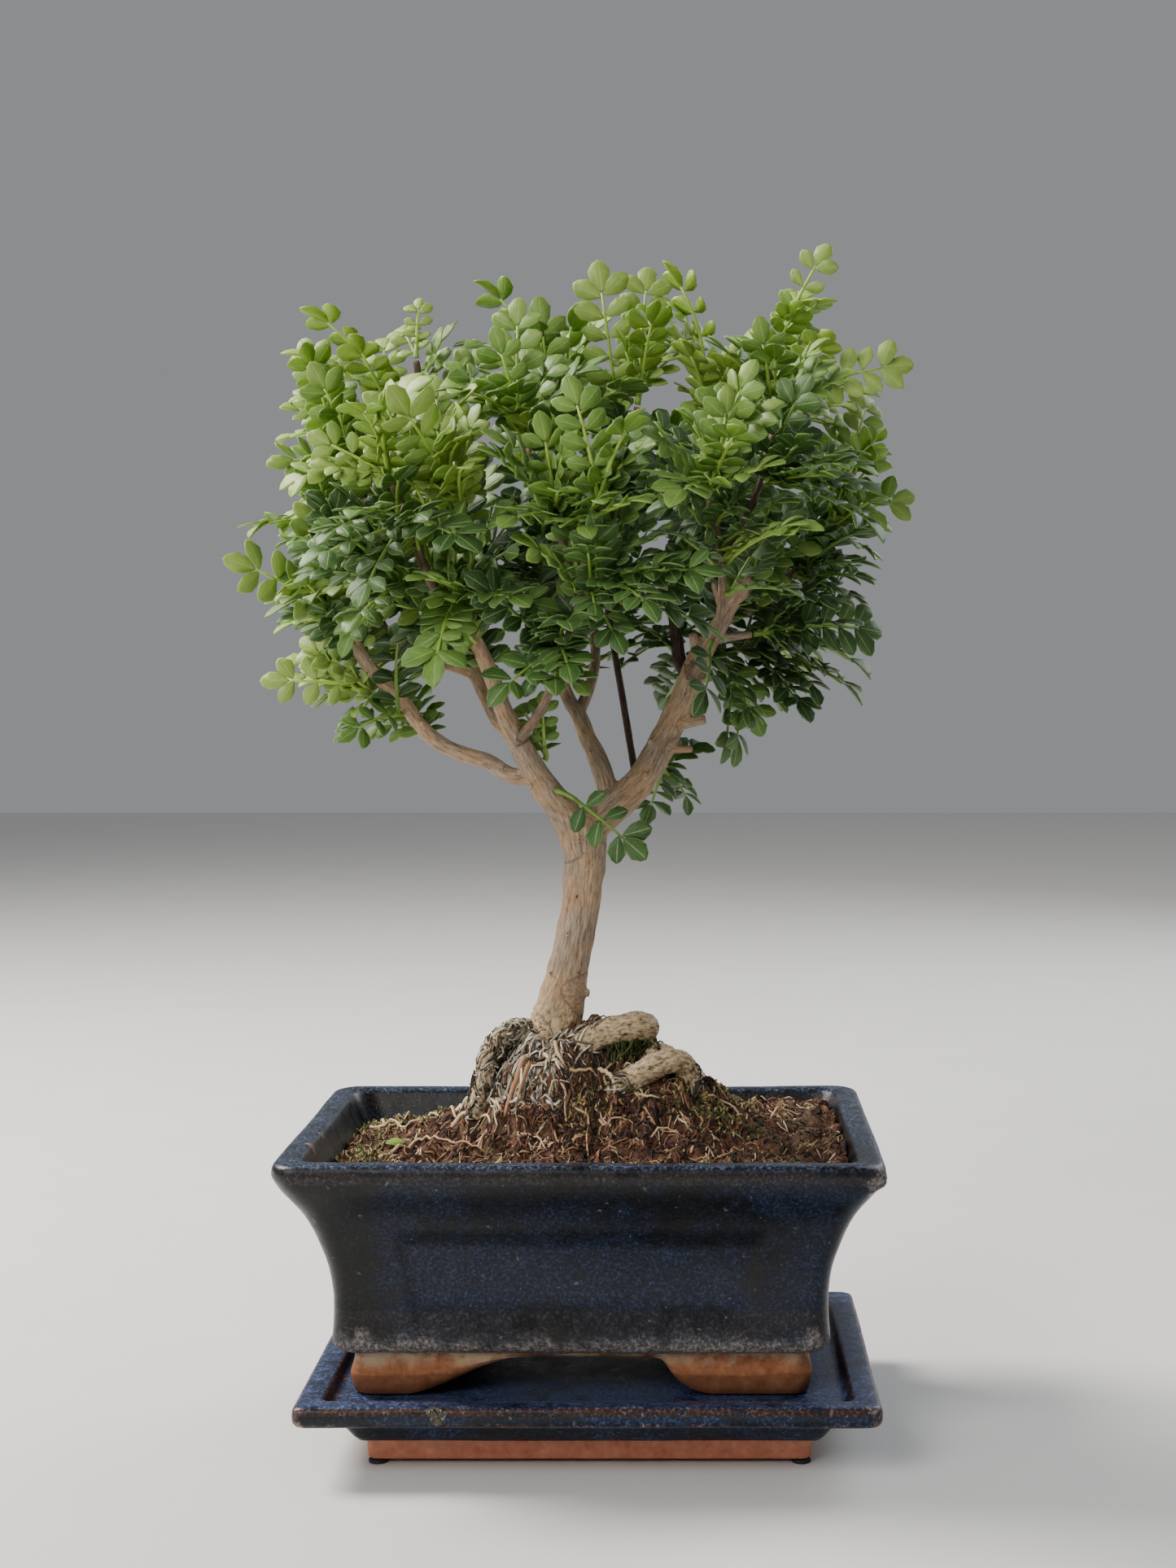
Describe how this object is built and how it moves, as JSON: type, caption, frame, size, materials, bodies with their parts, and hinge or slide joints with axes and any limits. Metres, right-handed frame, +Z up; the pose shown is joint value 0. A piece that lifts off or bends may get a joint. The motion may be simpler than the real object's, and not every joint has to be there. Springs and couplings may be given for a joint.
{
  "type": "japanese pepper bonsai",
  "caption": "Small pinnate-leaved bonsai tree with looping surface roots, planted in a blue glazed rectangular footed pot on a matching drip tray.",
  "frame": {"origin": "under the middle of the pot, at the height of the surface that the tray stands on; the centre of the box round the object lies within 2 mm of it", "axes": "+Z up, +X to the right along the pot's long side, -Y out of the pot's front face"},
  "size_m": [0.1871, 0.1587, 0.3235],
  "materials": {
    "pot_glaze": "dark navy speckled glaze, bare terracotta feet",
    "tray_glaze": "blue speckled glaze with brown edges, bare terracotta foot ring",
    "pad_rubber": "matt black",
    "soil": "fibrous peat",
    "bark": "tan bark with pale flecks",
    "leaf_bright": "young translucent green",
    "leaf_green": "satin green",
    "leaf_dark": "glossy dark green"
  },
  "bodies": {
    "root": {"tray": "tray_glaze", "pot": "pot_glaze", "pad_front_left": "pad_rubber", "pad_front_right": "pad_rubber", "pad_back_left": "pad_rubber", "pad_back_right": "pad_rubber", "soil": "soil", "trunk": "bark", "shoot_01": "leaf_bright", "shoot_02": "leaf_bright", "shoot_03": "leaf_green", "shoot_04": "leaf_bright", "shoot_05": "leaf_green", "shoot_06": "leaf_green", "shoot_07": "leaf_bright", "shoot_08": "leaf_bright", "shoot_09": "leaf_green", "shoot_10": "leaf_green", "shoot_11": "leaf_green", "shoot_12": "leaf_bright", "shoot_13": "leaf_bright", "shoot_14": "leaf_bright", "shoot_15": "leaf_bright", "shoot_16": "leaf_bright", "shoot_17": "leaf_green", "shoot_18": "leaf_green", "shoot_19": "leaf_dark", "shoot_20": "leaf_dark", "shoot_21": "leaf_dark", "shoot_22": "leaf_green", "shoot_23": "leaf_green", "shoot_24": "leaf_dark", "shoot_25": "leaf_bright", "shoot_26": "leaf_dark", "shoot_27": "leaf_green", "shoot_28": "leaf_dark", "shoot_29": "leaf_bright", "shoot_30": "leaf_green", "shoot_31": "leaf_bright", "shoot_32": "leaf_green", "shoot_33": "leaf_dark", "shoot_34": "leaf_green", "shoot_35": "leaf_green", "shoot_36": "leaf_dark", "shoot_37": "leaf_dark", "shoot_38": "leaf_dark", "shoot_39": "leaf_green", "shoot_40": "leaf_dark", "shoot_41": "leaf_green", "shoot_42": "leaf_dark", "shoot_43": "leaf_dark", "shoot_44": "leaf_green", "shoot_45": "leaf_dark", "shoot_46": "leaf_bright", "shoot_47": "leaf_dark", "shoot_48": "leaf_green", "shoot_49": "leaf_bright", "shoot_50": "leaf_dark", "shoot_51": "leaf_dark", "shoot_52": "leaf_dark"}
  },
  "joints": []
}
